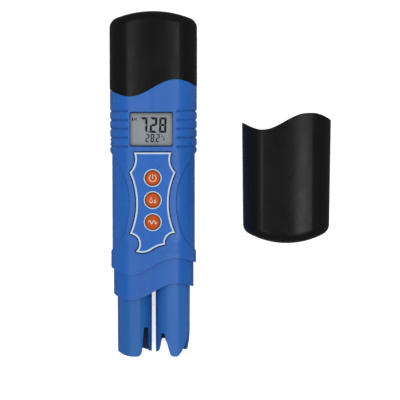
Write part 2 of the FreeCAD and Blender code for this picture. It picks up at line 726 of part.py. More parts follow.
def electrode_carrier():
    """The block inside the collar that the stems pass through."""
    block = barrel(SPIGOT_OFFSET - SPIGOT_WALL, GUARD_TOP_Y, CARRIER_TOP_Y)
    low_y = GUARD_TOP_Y - CLEAR
    for x in (-GUARD_X, GUARD_X):
        block = block.cut(rod(ELECTRODE_RADIUS, vec(x, low_y, AXIS_Z), ELECTRODE_TOP_Y - low_y, ALONG))
    for x in pin_positions():
        block = block.cut(rod(PIN_RADIUS, vec(x, CARRIER_TOP_Y - PIN_DEPTH, SOCKET_Z), FAR, ALONG))
    return block


def connector_pins():
    pins = []
    for x in pin_positions():
        pins.append(rod(PIN_RADIUS, vec(x, CARRIER_TOP_Y - PIN_DEPTH, SOCKET_Z), PIN_LENGTH, ALONG))
    return Part.makeCompound(pins)


def fillet_point(before, corner, after, radius):
    """The two ends and the middle of the arc that rounds a corner in a plane."""
    towards = (before - corner).normalize()
    away = (after - corner).normalize()
    half = towards.getAngle(away) / 2
    setback = radius / math.tan(half)
    bisector = (towards + away).normalize()
    centre = corner + bisector * (radius / math.sin(half))
    return corner + towards * setback, centre - bisector * radius, corner + away * setback


def rounded_wire(corners):
    """A closed outline through (point, radius) corners; a radius of 0 keeps the corner sharp."""
    arcs = []
    count = len(corners)
    for index, (corner, radius) in enumerate(corners):
        before = corners[index - 1][0]
        after = corners[(index + 1) % count][0]
        if radius == 0:
            arcs.append((corner, None, corner))
        else:
            arcs.append(fillet_point(before, corner, after, radius))
    edges = []
    for index, (start, middle, end) in enumerate(arcs):
        if middle is not None:
            edges.append(Part.Arc(start, middle, end).toShape())
        edges.append(Part.makeLine(end, arcs[(index + 1) % count][0]))
    return Part.Wire(edges)


def notch_outline(place, top, left, right, foot_radius=NOTCH_FOOT):
    """A slot with two round corners at its top and flared feet; every corner is (across, along)."""
    top_left, top_right = top
    low = GUARD_TIP_Y - NOTCH_DROP
    corners = [
        (place(*top_left), NOTCH_CORNER),
        (place(*top_right), NOTCH_CORNER),
        (place(*right), foot_radius),
        (place(right[0] + NOTCH_REACH, right[1] - NOTCH_SLOPE * NOTCH_REACH), 0),
        (place(right[0] + NOTCH_REACH, low), 0),
        (place(left[0] - NOTCH_REACH, low), 0),
        (place(left[0] - NOTCH_REACH, left[1] - NOTCH_SLOPE * NOTCH_REACH), 0),
        (place(*left), foot_radius),
    ]
    return rounded_wire(corners)


def front_notch(tube_x, top, left, right):
    """A notch cut from the tube's axis out through its front."""
    outline = notch_outline(lambda across, y: vec(tube_x + across, y, AXIS_Z), top, left, right)
    return Part.Face(outline).extrude(FRONT * FAR)


def rear_notch(tube_x, top, left, right):
    """A notch cut from the tube's axis out through its back."""
    outline = notch_outline(lambda across, y: vec(tube_x + across, y, AXIS_Z), top, left, right)
    return Part.Face(outline).extrude(FRONT * -FAR)


def side_notch(tube_x, side, top, left, right):
    """A notch cut from the tube's axis out through its right (+1) or left (-1) side."""
    outline = notch_outline(lambda across, y: vec(tube_x, y, AXIS_Z + across), top, left, right, SIDE_FOOT)
    return Part.Face(outline).extrude(RIGHT * side * 2 * GUARD_RADIUS)


def guard_tube(x, notches):
    """A tapered tube round one electrode, with its open end cut into fingers."""
    length = GUARD_TOP_Y - GUARD_TIP_Y
    low = vec(x, GUARD_TIP_Y, AXIS_Z)
    outside = Part.makeCone(GUARD_TIP_RADIUS, GUARD_RADIUS, length, low, ALONG)
    inner_low = vec(x, GUARD_TIP_Y - CLEAR, AXIS_Z)
    inside = rod(GUARD_TIP_RADIUS - GUARD_WALL, inner_low, length + 2 * CLEAR, ALONG)
    return outside.cut(inside).cut(notches)


def guard_left():
    """The guard of the acidity electrode: a slot at the front right, a V at the back, a low left side."""
    front = front_notch(-GUARD_X, ((4.9, -62.9), (6.9, -63.4)), (3.6, -77.4), (7.2, -74.8))
    rear = rear_notch(-GUARD_X, ((-1.9, -65.0), (-0.1, -65.0)), (-4.2, -75.6), (2.2, -75.4))
    side = side_notch(-GUARD_X, -1, ((-4.5, -75.9), (4.5, -75.9)), (-9.6, -78.1), (9.6, -78.1))
    return guard_tube(-GUARD_X, [front, rear, side])


def guard_right():
    """The guard of the redox electrode: a V at the front, one at the back and a wider one on the right."""
    front = front_notch(GUARD_X, ((-5.5, -66.0), (-4.1, -66.0)), (-6.4, -75.5), (-0.9, -77.5))
    rear = rear_notch(GUARD_X, ((-5.6, -70.3), (-4.2, -70.3)), (-6.6, -76.3), (-1.2, -77.4))
    side = side_notch(GUARD_X, 1, ((0.6, -61.6), (1.8, -61.6)), (-4.4, -75.9), (8.2, -77.8))
    return guard_tube(GUARD_X, [front, rear, side])


def electrode_stem(x, end_y, holes):
    stem = rod(ELECTRODE_RADIUS, vec(x, end_y, AXIS_Z), ELECTRODE_TOP_Y - end_y, ALONG)
    rim = [e for e in stem.Edges if abs(e.CenterOfMass.y - end_y) < TINY]
    stem = stem.makeFillet(ELECTRODE_FILLET, rim)
    return stem.cut(holes)


def bulb_shape():
    """The thin glass ball that senses acidity, with its short glass neck."""
    ball = Part.makeSphere(BULB_RADIUS, vec(-GUARD_X, BULB_Y, AXIS_Z))
    neck_length = PH_STEM_END_Y + BULB_NECK_LENGTH - BULB_Y
    neck = rod(BULB_NECK_RADIUS, vec(-GUARD_X, BULB_Y, AXIS_Z), neck_length, ALONG)
    return ball.fuse(neck)


def ph_electrode():
    start = vec(-GUARD_X, PH_STEM_END_Y - CLEAR, AXIS_Z)
    socket = rod(BULB_RADIUS + BULB_SOCKET_FIT, start, BULB_SOCKET_DEPTH + CLEAR, ALONG)
    return electrode_stem(-GUARD_X, PH_STEM_END_Y, [socket, bulb_shape(), ph_junction()])


def ph_junction():
    start = vec(-GUARD_X, PH_STEM_END_Y - PH_JUNCTION_PROUD, AXIS_Z - PH_JUNCTION_DEPTH)
    return rod(PH_JUNCTION_RADIUS, start, JUNCTION_LENGTH, ALONG)


def orp_electrode():
    return electrode_stem(GUARD_X, ORP_STEM_END_Y, [platinum_sensor(), orp_junction(), temperature_sensor()])


def round_pin(radius, x, z, proud, depth, fillet):
    """A pin with a rounded tip that stands out of the redox electrode's end."""
    tip_y = ORP_STEM_END_Y - proud
    pin = rod(radius, vec(x, tip_y, z), proud + depth, ALONG)
    tip = [e for e in pin.Edges if abs(e.CenterOfMass.y - tip_y) < TINY]
    return pin.makeFillet(fillet, tip)


def platinum_sensor():
    return round_pin(PLATINUM_RADIUS, PLATINUM_X, AXIS_Z, PLATINUM_PROUD, PLATINUM_DEPTH, PLATINUM_FILLET)


def orp_junction():
    start = vec(GUARD_X, ORP_STEM_END_Y - ORP_JUNCTION_PROUD, AXIS_Z + ORP_JUNCTION_RISE)
    return rod(ORP_JUNCTION_RADIUS, start, ORP_JUNCTION_PROUD + JUNCTION_LENGTH, ALONG)


def temperature_sensor():
    return round_pin(PROBE_RADIUS, PROBE_X, AXIS_Z - PROBE_SINK_Z, PROBE_PROUD, PROBE_DEPTH, PROBE_FILLET)


# ---- protective cap -----------------------------------------------------------------------------
def protective_cap():
    """The black cup that covers the electrodes, tapering a little to its domed end."""
    top_y = CAP_EDGE_Y + 2 * WAVE_AMPLITUDE
    low_y = CAP_BOTTOM_Y - DOME_SPARE
    outside = taper(CAP_END_OFFSET, low_y, CAP_RIM_OFFSET, top_y, CAP)
    outside = domed(outside, CAP_BOTTOM_Y, CAP_DOME_RADIUS, CAP, 1, DOME_FILLET)
    inner_bottom = CAP_BOTTOM_Y + CAP_WALL
    inside = taper(CAP_END_OFFSET - CAP_WALL, low_y, CAP_RIM_OFFSET - CAP_WALL, top_y, CAP)
    inside = domed(inside, inner_bottom, CAP_DOME_RADIUS - CAP_WALL, CAP, 1, DOME_FILLET - CAP_WALL)
    cup = outside.cut(inside).cut(above_wave(CAP_EDGE_Y, CAP_X))
    return rest_flat(cup)


# ---- all the pieces -----------------------------------------------------------------------------
def pieces():
    """Every node's name and its solid."""
    result = {
        "main_housing": main_housing(),
        "neck_seal": neck_seal(),
        "lcd_window": lcd_window(),
        "lcd_panel": lcd_panel(),
        "lcd_holder": lcd_holder(),
        "lcd_contact_strips": lcd_contact_strips(),
        "label_panel": label_panel(),
        "label_border": label_border(),
        "button_rings": button_rings(),
        "main_board": main_board(),
        "board_screws": board_screws(),
        "microcontroller": microcontroller(),
        "board_components": board_components(),
        "board_socket": board_socket(),
        "chassis": chassis(),
        "battery_holder": battery_holder(),
        "battery_plate": battery_plate(),
        "battery_spring": battery_spring(),
        "battery_cap": battery_cap(),
        "collar": collar(),
        "module_seal": module_seal(),
        "electrode_carrier": electrode_carrier(),
        "connector_pins": connector_pins(),
        "guard_left": guard_left(),
        "guard_right": guard_right(),
        "ph_electrode": ph_electrode(),
        "ph_glass_bulb": bulb_shape(),
        "ph_junction": ph_junction(),
        "orp_electrode": orp_electrode(),
        "platinum_sensor": platinum_sensor(),
        "orp_junction": orp_junction(),
        "temperature_sensor": temperature_sensor(),
        "protective_cap": protective_cap(),
    }
    for name, y in zip(("power", "ph", "mv"), button_heights()):
        result[name + "_button"] = button(y)
        result[name + "_snap_dome"] = snap_dome(y)
    for index in range(CELL_COUNT):
        result["battery_cell_" + str(index + 1)] = battery_cell(index)
    return result


def main():
    os.makedirs("parts", exist_ok=True)
    for name, shape in pieces().items():
        shape.exportStep(os.path.join("parts", name + ".step"))
        print(name, "solids", len(shape.Solids), "valid", shape.isValid(), "volume", round(shape.Volume, 1))


main()
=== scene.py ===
from collections import namedtuple
import json
import math

import bmesh
import bpy
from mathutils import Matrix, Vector


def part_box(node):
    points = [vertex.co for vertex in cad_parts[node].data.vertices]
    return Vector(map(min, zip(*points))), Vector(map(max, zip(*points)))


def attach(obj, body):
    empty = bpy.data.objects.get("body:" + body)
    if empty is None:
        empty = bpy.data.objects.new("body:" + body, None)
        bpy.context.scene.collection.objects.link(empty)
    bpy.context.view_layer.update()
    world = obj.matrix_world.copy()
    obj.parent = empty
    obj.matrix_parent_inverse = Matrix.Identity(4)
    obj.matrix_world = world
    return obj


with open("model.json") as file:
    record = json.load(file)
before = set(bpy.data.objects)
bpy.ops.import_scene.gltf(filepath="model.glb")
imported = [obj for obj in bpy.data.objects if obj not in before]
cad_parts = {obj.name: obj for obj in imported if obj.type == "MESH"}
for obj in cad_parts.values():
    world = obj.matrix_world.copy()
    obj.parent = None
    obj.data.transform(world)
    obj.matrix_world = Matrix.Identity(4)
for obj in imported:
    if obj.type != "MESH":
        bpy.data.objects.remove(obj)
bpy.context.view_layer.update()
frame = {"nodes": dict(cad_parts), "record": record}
nodes = frame["nodes"]

MM = 0.001
KEYS = ("power_button", "ph_button", "mv_button")

# How edges are rounded and rubbed, and where shade is painted darker into seams, guard bores and button
# rims
BEVEL_SAMPLES = 6
SOFT_EDGE = 0.12 * MM
LABEL_EDGE = 0.04 * MM
RUBBED_EDGE = (0.86, 0.985)
WORN_RADIUS = 0.22 * MM
# Painted shade: plastic darkens towards CREVICE_SHADE of its colour in seams, grooves and recesses found by
# ambient occlusion
CREVICE_SAMPLES = 8
CREVICE_REACH = 1.0 * MM
CREVICE_DEPTH = 0.8
CREVICE_OPENNESS = (0.3, 0.8)
CREVICE_SHADE = 0.2
# How far painted shade reaches from the axis inside a guard's bore
BORE_SHADE_REACH = (7.1 * MM, 8.3 * MM)
# How far from a button's middle the painted shade on its rim begins and ends
KEY_RIM_SHADE_REACH = (2.7 * MM, 3.6 * MM)

# Textures: features per metre and the height of their relief
GRAIN_SCALE = 4200
GRAIN_DEPTH = 0.003 * MM
LABEL_GRAIN_DEPTH = 0.002 * MM
MOULD_STRETCH = (1, 0.7, 1)
MOTTLE_SCALE = 45
SPECK_PATCH_SCALE = 18
WEAR_PATCH_SCALE = 260
SMEAR_SCALE = 110
WAVINESS_SCALE = 60
WAVINESS_DEPTH = 0.02 * MM
SCRATCH_DEPTH = 0.004 * MM
SCRATCH_TURNS = ((0.5, 900), (-0.9, 1200))
SCRATCH_PATCH_SCALE = 70
DRAWN_ALONG_Y = (1, 0.1, 1)
METAL_TONE_SCALE = 300
METAL_MARK_SCALE = 2500
METAL_MARK_DEPTH = 0.004 * MM
INK_TONE_SCALE = 900
INK_GLOSS_SCALE = 1500
INK_GRAIN_SCALE = 6000
LCD_TONE_SCALE = 60
LCD_PATCH_SCALE = 500
LCD_GLOSS_SCALE = 400
LCD_REFLECTOR_SCALE = 9000
LCD_GRAIN_SCALE = 7000
FINE_GRAIN_DEPTH = 0.002 * MM
CLEAR_TONE_SCALE = 80
CLEAR_SMEAR_SCALE = 160
CLEAR_RIPPLE_SCALE = 200
CLEAR_RIPPLE_DEPTH = 0.005 * MM
FLOOR_TONE_SCALE = 3

# How far a colour strays to each side of its base, and how the gloss of plastic strays
PLASTIC_SPREAD = 0.05
SPECK_SPREAD = 2.2
KEY_SPREAD = 0.14
METAL_SPREAD = 0.08
INK_SPREAD = 0.12
CLEAR_SPREAD = 0.03
SMEAR_GLOSSIER = 0.045
SMEAR_DULLER = 0.05
SCRATCH_DULLER = 0.12
WORN_GAIN = 1.25
WORN_LIFT = 0.012

# Finishes, in linear light; a wear entry is a colour, how far it reaches and its least strength
BLUE = (0.019, 0.120, 0.45)
# Painted light and shade: the collar and each guard carry their own copy of the housing's blue, darker
# where they lie lower and different between the two guards as the light falls on them
COLLAR_SHADED_BLUE = (0.0145, 0.110, 0.428)
GUARD_LIT_BLUE = {"guard_left": (0.018, 0.115, 0.39), "guard_right": (0.024, 0.125, 0.42)}
# Painted shade inside the guards' bores, darker in the right one
BORE_SHADE_BLUE = {"guard_left": (0.022, 0.046, 0.14), "guard_right": (0.010, 0.018, 0.055)}
BLUE_WEAR = ((0.075, 0.20, 0.56), 0.28 * MM, 0.25)
LABEL_BLUE = (0.008, 0.118, 0.48)
BLACK = (0.0045, 0.0048, 0.0048)
PALE = (0.52, 0.64, 0.80)
ORANGE = (0.53, 0.082, 0.010)
# Painted shade on the rims of the buttons
RIM_SHADE_ORANGE = (0.21, 0.040, 0.008)
LCD_DARK = (0.305, 0.342, 0.372)
LCD_PALE = (0.378, 0.418, 0.45)
WINDOW_TINT = (0.05, 0.055, 0.055)
SENSOR_TINT = (0.7, 0.8, 0.85)
FLOOR_DARK = (0.86, 0.86, 0.86)
FLOOR_PALE = (0.9, 0.9, 0.9)
INNER_PLASTICS = {
    "inner_plastic": ((0.5, 0.5, 0.47), 0.5),
    "holder_black": ((0.015, 0.015, 0.016), 0.5),
    "chip_black": ((0.012, 0.012, 0.013), 0.55),
    "circuit_board": ((0.008, 0.11, 0.035), 0.35),
    "contact_rubber": ((0.2, 0.2, 0.2), 0.7),
    "seal_rubber": ((0.012, 0.012, 0.012), 0.6),
    "electrode_body": ((0.012, 0.013, 0.02), 0.25),
    "junction_ceramic": ((0.75, 0.72, 0.65), 0.8),
}
METALS = {
    "screw_steel": ((0.5, 0.5, 0.5), 0.3),
    "contact_metal": ((0.6, 0.57, 0.5), 0.28, DRAWN_ALONG_Y),
    "contact_gold": ((0.8, 0.58, 0.22), 0.22, DRAWN_ALONG_Y),
    "cell_steel": ((0.66, 0.66, 0.66), 0.2),
    "platinum": ((0.72, 0.7, 0.67), 0.15),
}
# Flat marks: print and switched-on display segments, and three painted shadow lines round the label's
# recess, the button rings and the display window
INKS_AND_SHADOW_LINES = {
    "lcd_ink": (0.0015, 0.002, 0.0025),
    "lcd_ink_faint": (0.08, 0.085, 0.11),
    "key_ink": (0.74, 0.62, 0.56),
    "label_shadow_colour": (0.003, 0.014, 0.055),
    "ring_shadow_colour": (0.01, 0.07, 0.27),
    "window_shadow_colour": (0.006, 0.018, 0.055),
}

# Points round a full ring
FINE_RING = 72
COARSE_RING = 24

# Marks on the display; the places are in millimetres from its middle
INK_THICKNESS = 0.03 * MM
SEGMENT_GAP = 0.08 * MM
SEGMENT_SLANT = 0.03
BIG_DIGITS_X = (-6.25, -1.45, 3.1)
BIG_DIGIT_Y = -1.75
BIG_DIGIT_SIZE = (3.6 * MM, 7.6 * MM)
BIG_STROKE = 1.1 * MM
BIG_POINT = (-2.0, -1.3)
BIG_POINT_RADIUS = 0.36 * MM
SMALL_DIGITS_X = (-3.6, -1.15, 1.45)
SMALL_DIGIT_Y = -6.35
SMALL_DIGIT_SIZE = (1.9 * MM, 4.0 * MM)
SMALL_STROKE = 0.6 * MM
SMALL_POINT = (1.0, -6.15)
SMALL_POINT_RADIUS = 0.2 * MM
SIGN_DROP = (-9.95, 4.95)
SIGN_DROP_SIZE = (0.62 * MM, 1.75 * MM)
SIGN_BARS = ((-8.85, 4.9), (-8.15, 4.9))
SIGN_BAR_LENGTH = 1.15
SIGN_BAR_WIDTH = 0.45 * MM
DEGREE_RING = (4.5, -3.4)
DEGREE_RADIUS = 0.34 * MM
DEGREE_STROKE = 0.26 * MM
THERMOMETER = (5.45, -3.3, -5.2)
THERMOMETER_STEM = 0.34 * MM
THERMOMETER_BULB = 0.42 * MM

# The painted shadow line round the display window, where the walls of its recess cast shade
WINDOW_SHADOW_CORNER = 0.9 * MM
WINDOW_SHADOW_SIDE = 0.14 * MM
WINDOW_SHADOW_END = 0.5 * MM
WINDOW_SHADOW_OVERHANG = 0.12 * MM
WINDOW_SHADOW_STEPS = 8
WINDOW_SHADOW_CORNER_STEPS = 6

# The label's outline, as arcs through three points in millimetres from the middle of its body, and the
# painted shadow line round it, where shade falls at the edge of its recess. The last arc is the straight
# top, bowed by a hair so that it has a centre.
LABEL_ARCS = (
    ((9.4, 24.2), (8.75, 19.6), (11.4, 14.3)),
    ((11.4, 14.3), (7.95, -0.8), (11.2, -15.7)),
    ((11.2, -15.7), (7.1, -17.4), (6.3, -21.4)),
    ((6.3, -21.4), (3.1, -22.0), (0.0, -23.5)),
    ((0.0, -23.5), (-4.2, -25.3), (-8.6, -24.7)),
    ((-8.6, -24.7), (-7.1, -19.0), (-11.5, -16.1)),
    ((-11.5, -16.1), (-8.2, -0.8), (-11.5, 14.3)),
    ((-11.5, 14.3), (-8.75, 19.6), (-9.4, 24.2)),
    ((-9.4, 24.2), (0.0, 24.2001), (9.4, 24.2)),
)
BORDER_PROUD = 0.14 * MM
FACE_RADIUS = 56.9 * MM
LABEL_SHADOW_STEPS = 14
LABEL_SHADOW_OUTSIDE = 0.4 * MM
LABEL_SHADOW_INSIDE = 0.16 * MM
# Painted shadow lines round the button rings
RING_SHADOW_OUTSIDE = 0.12 * MM
RING_SHADOW_INSIDE = 0.07 * MM
SHADOW_LINE_FLOOR = -0.3 * MM
SHADOW_LINE_TOP = 0.03 * MM

# Marks on the buttons
KEY_STROKE = 0.36 * MM
POWER_RADIUS = 1.72 * MM
POWER_ARC = (122, 418)
POWER_ARC_STEPS = 48
POWER_BAR_FOOT = -0.35 * MM
DROP_TAPER = 0.75
DROP_STEPS = 40
DROPS = ((-0.75 * MM, 0.0, 1.15 * MM, 3.0 * MM), (1.2 * MM, -0.45 * MM, 0.85 * MM, 2.1 * MM))
DROP_HOLE_SHIFT = 0.08 * MM
DROP_HOLE_CUT = 1.15 * MM
WAVE_LENGTH = 4.0 * MM
WAVE_HEIGHT = 1.7 * MM
WAVE_STEPS = 60
WAVE_TURNS = 2

# The stage, in metres, watts and degrees, with the camera's sensor and lens in millimetres; a light is its
# place, its target, its size and its power
FLOOR_HALF_SIZE = 1.5
FLOOR_SQUARES = 8
FLOOR_GLOW = 0.6
SKY_STRENGTH = 0.09
MIDDLE = (0.02, 0.0, 0.0)
BESIDE_MIDDLE = (0.04, -0.02, 0.0)
MIRRORED_LIGHTS = {
    "left_strip": ((-0.38, 0.0, 0.8), MIDDLE, (1.2, 0.14), 0.55),
    "right_strip": ((0.238, -0.02, 0.485), BESIDE_MIDDLE, (0.6, 0.08), 0.21),
    "right_patch": ((0.228, -0.065, 0.48), BESIDE_MIDDLE, (0.07, 0.07), 0.04),
}
EVEN_LIGHTS = {
    "overhead": ((0.0, 0.05, 1.1), MIDDLE, (1.0, 1.0), 9.9),
    "top_softbox": ((0.02, 0.85, 0.6), MIDDLE, (1.4, 0.4), 1.8),
    "foot_softbox": ((0.02, -0.85, 0.6), MIDDLE, (1.4, 0.4), 1.6),
}
CAMERA_AIM = (23.2 * MM, 0.0, 12.6 * MM)
CAMERA_DISTANCE = 0.7
CAMERA_TILT = 3.3
CAMERA_SENSOR = 36.0
CAMERA_LENS = 126.0
CAMERA_CLIP = (0.05, 10.0)


# A part of a piece tinted darker as painted shade: how far it reaches from a line through place, measured
# along the axes marked in across, with a soft edge from near to far, and whether the shade lies inside that
# distance or beyond it
ShadeZone = namedtuple("ShadeZone", "place across near far inside tint")


# ---- node helpers -------------------------------------------------------------------------------
class Shader:
    """A material under construction: its node tree, its Principled shader and its object-space place."""

    def __init__(self, name, soft_edge=0.0):
        self.material = bpy.data.materials.new(name)
        self.material.use_nodes = True
        self.tree = self.material.node_tree
        self.bsdf = self.tree.nodes["Principled BSDF"]
        self.place = self.add("ShaderNodeTexCoord").outputs["Object"]
        self.normal = None
        if soft_edge:
            bevel = self.add("ShaderNodeBevel", samples=BEVEL_SAMPLES)
            bevel.inputs["Radius"].default_value = soft_edge
            self.normal = bevel.outputs["Normal"]
            self.link(self.normal, self.bsdf.inputs["Normal"])

    def add(self, kind, **settings):
        """A new node with its settings."""
        node = self.tree.nodes.new(kind)
        for key, value in settings.items():
            setattr(node, key, value)
        return node

    def link(self, source, target):
        self.tree.links.new(source, target)

    def set(self, **values):
        """Constants on the Principled shader, by socket name with _ for a space."""
        for key, value in values.items():
            self.bsdf.inputs[key.replace("_", " ")].default_value = value

    def mapped(self, stretch, turn=(0, 0, 0)):
        """The object-space place, stretched and turned."""
        mapping = self.add("ShaderNodeMapping")
        mapping.inputs["Scale"].default_value = stretch
        mapping.inputs["Rotation"].default_value = turn
        self.link(self.place, mapping.inputs["Vector"])
        return mapping.outputs["Vector"]

    def noise(self, scale, detail=4.0, stretch=(1, 1, 1), turn=(0, 0, 0)):
        """Noise with about scale features per metre, stretched along the axes."""
        node = self.add("ShaderNodeTexNoise")
        node.inputs["Scale"].default_value = scale
        node.inputs["Detail"].default_value = detail
        self.link(self.mapped(stretch, turn), node.inputs["Vector"])
        return node.outputs["Fac"]

    def ramp(self, value, stops):
        """Maps a value through (position, colour) stops."""
        node = self.add("ShaderNodeValToRGB")
        ramp = node.color_ramp
        while len(ramp.elements) < len(stops):
            ramp.elements.new(0.5)
        for element, (position, colour) in zip(ramp.elements, stops):
            element.position = position
            element.color = (*colour, 1.0)
        self.link(value, node.inputs["Fac"])
        return node.outputs["Color"]

    def flat(self, value, colour):
        """One colour, whatever the value."""
        return self.ramp(value, [(0.0, colour), (1.0, colour)])

    def range(self, value, low, high, from_low=0.3, from_high=0.7):
        """Maps a noise value onto a range of numbers."""
        node = self.add("ShaderNodeMapRange")
        node.inputs["From Min"].default_value = from_low
        node.inputs["From Max"].default_value = from_high
        node.inputs["To Min"].default_value = low
        node.inputs["To Max"].default_value = high
        self.link(value, node.inputs["Value"])
        return node.outputs["Result"]

    def combine(self, operation, first, second):
        """Two numbers put together by a named operation."""
        node = self.add("ShaderNodeMath", operation=operation)
        self.link(first, node.inputs[0])
        self.link(second, node.inputs[1])
        return node.outputs["Value"]

    def mix(self, factor, first, second):
        """The first colour where the factor is 0, the second where it is 1."""
        node = self.add("ShaderNodeMix", data_type="RGBA")
        self.link(factor, node.inputs["Factor"])
        self.link(first, node.inputs["A"])
        self.link(second, node.inputs["B"])
        return node.outputs["Result"]

    def bump(self, height, depth):
        """Adds a layer of relief, depth metres high."""
        node = self.add("ShaderNodeBump")
        node.inputs["Strength"].default_value = 1.0
        node.inputs["Distance"].default_value = depth
        self.link(height, node.inputs["Height"])
        if self.normal is not None:
            self.link(self.normal, node.inputs["Normal"])
        self.normal = node.outputs["Normal"]
        self.link(self.normal, self.bsdf.inputs["Normal"])

    def edge_mask(self, radius):
        """1 on outer edges that hands rub, 0 on open surfaces, whatever the mesh is like."""
        bevel = self.add("ShaderNodeBevel", samples=BEVEL_SAMPLES)
        bevel.inputs["Radius"].default_value = radius
        geometry = self.add("ShaderNodeNewGeometry")
        facing = self.add("ShaderNodeVectorMath", operation="DOT_PRODUCT")
        self.link(bevel.outputs["Normal"], facing.inputs[0])
        self.link(geometry.outputs["True Normal"], facing.inputs[1])
        return self.range(facing.outputs["Value"], 1.0, 0.0, *RUBBED_EDGE)

    def painted_crevice_shade(self, reach):
        """Painted shade, from ambient occlusion: 1 deep in seams and grooves, 0 in the open."""
        node = self.add("ShaderNodeAmbientOcclusion", samples=CREVICE_SAMPLES)
        node.inputs["Distance"].default_value = reach
        return self.range(node.outputs["AO"], CREVICE_DEPTH, 0.0, *CREVICE_OPENNESS)

    def from_line(self, place, across):
        """Distance in metres from a line through a place, measured along the axes marked 1 in across."""
        mapping = self.add("ShaderNodeMapping")
        mapping.inputs["Location"].default_value = [-value * part for value, part in zip(place, across)]
        mapping.inputs["Scale"].default_value = across
        self.link(self.place, mapping.inputs["Vector"])
        length = self.add("ShaderNodeVectorMath", operation="LENGTH")
        self.link(mapping.outputs["Vector"], length.inputs[0])
        return length.outputs["Value"]

    def hairlines(self):
        """Fine scratches in two directions: 0 almost everywhere, 1 on a scratch."""
        lines = []
        for turn, scale in SCRATCH_TURNS:
            streaks = self.noise(scale, 2, (1, 0.02, 1), (0, 0, turn))
            lines.append(self.range(streaks, 0.0, 1.0, 0.68, 0.74))
        patches = self.range(self.noise(SCRATCH_PATCH_SCALE, 2), 0.0, 1.0, 0.5, 0.62)
        return self.combine("MULTIPLY", self.combine("MAXIMUM", *lines), patches)


def shades(base, spread):
    """Two colours a little darker and lighter than base."""
    return [tuple(channel * factor for channel in base) for factor in (1 - spread, 1 + spread)]


def moulded_plastic(name, base, roughness, spread=PLASTIC_SPREAD, grain=GRAIN_DEPTH, wear=None,
                    soft_edge=SOFT_EDGE, shade_zone=None):
    """Moulded plastic: mottling, a fine spark texture, rubbed edges, painted shade in seams and in an
    optional zone, and uneven gloss.
    """
    shader = Shader(name, soft_edge)
    darker, lighter = shades(base, spread)
    colour = shader.ramp(shader.noise(MOTTLE_SCALE, 3, MOULD_STRETCH), [(0.35, darker), (0.65, lighter)])
    speck_dark, speck_light = shades(base, SPECK_SPREAD * spread)
    speckle = shader.ramp(shader.noise(GRAIN_SCALE, 1), [(0.3, speck_dark), (0.7, speck_light)])
    colour = shader.mix(shader.range(shader.noise(SPECK_PATCH_SCALE, 1), 0.35, 0.6), colour, speckle)
    paler = tuple(channel * WORN_GAIN + WORN_LIFT for channel in base)
    worn, radius, least = wear or (paler, WORN_RADIUS, 0.0)
    edge = shader.edge_mask(radius)
    patches = shader.range(shader.noise(WEAR_PATCH_SCALE, 3), least, 0.85, 0.4, 0.62)
    colour = shader.mix(shader.combine("MULTIPLY", edge, patches), colour, shader.flat(edge, worn))
    # Painted shade: the colour darkens where ambient occlusion finds seams, grooves and recesses
    crevice_shade_colour = tuple(channel * CREVICE_SHADE for channel in base)
    colour = shader.mix(shader.painted_crevice_shade(CREVICE_REACH), colour, shader.flat(edge, crevice_shade_colour))
    # Painted shade: a darker zone inside a guard's bore or on a button's rim
    if shade_zone is not None:
        distance = shader.from_line(shade_zone.place, shade_zone.across)
        near_share = 1.0 if shade_zone.inside else 0.0
        share = shader.range(distance, near_share, 1.0 - near_share, shade_zone.near, shade_zone.far)
        colour = shader.mix(share, colour, shader.flat(edge, shade_zone.tint))
    shader.link(colour, shader.bsdf.inputs["Base Color"])
    uneven = shader.noise(SMEAR_SCALE, 5, (1, 0.6, 1))
    smear = shader.range(uneven, roughness - SMEAR_GLOSSIER, roughness + SMEAR_DULLER)
    scratches = shader.hairlines()
    gloss = shader.combine("ADD", smear, shader.range(scratches, 0.0, SCRATCH_DULLER, 0.0, 1.0))
    shader.link(gloss, shader.bsdf.inputs["Roughness"])
    shader.bump(shader.noise(GRAIN_SCALE, 2), grain)
    shader.bump(shader.noise(WAVINESS_SCALE, 2, MOULD_STRETCH), WAVINESS_DEPTH)
    shader.bump(scratches, -SCRATCH_DEPTH)
    return shader


def metal(name, base, roughness, stretch=(1, 1, 1)):
    """Plated or bare metal with fine drawing marks."""
    shader = Shader(name)
    darker, lighter = shades(base, METAL_SPREAD)
    colour = shader.ramp(shader.noise(METAL_TONE_SCALE, 4, stretch), [(0.35, darker), (0.65, lighter)])
    shader.link(colour, shader.bsdf.inputs["Base Color"])
    shader.set(Metallic=1.0)
    marks = shader.noise(METAL_MARK_SCALE, 3, stretch)
    shader.link(shader.range(marks, roughness - 0.06, roughness + 0.1), shader.bsdf.inputs["Roughness"])
    shader.bump(marks, METAL_MARK_DEPTH)
    return shader


def flat_mark(name, base):
    """Printed or switched-on marks and painted shadow lines: flat, a little uneven in density."""
    shader = Shader(name)
    darker, lighter = shades(base, INK_SPREAD)
    colour = shader.ramp(shader.noise(INK_TONE_SCALE, 3), [(0.35, darker), (0.65, lighter)])
    shader.link(colour, shader.bsdf.inputs["Base Color"])
    shader.link(shader.range(shader.noise(INK_GLOSS_SCALE, 2), 0.45, 0.6), shader.bsdf.inputs["Roughness"])
    shader.set(Specular_IOR_Level=0.15)
    shader.bump(shader.noise(INK_GRAIN_SCALE, 1), FINE_GRAIN_DEPTH)
    return shader


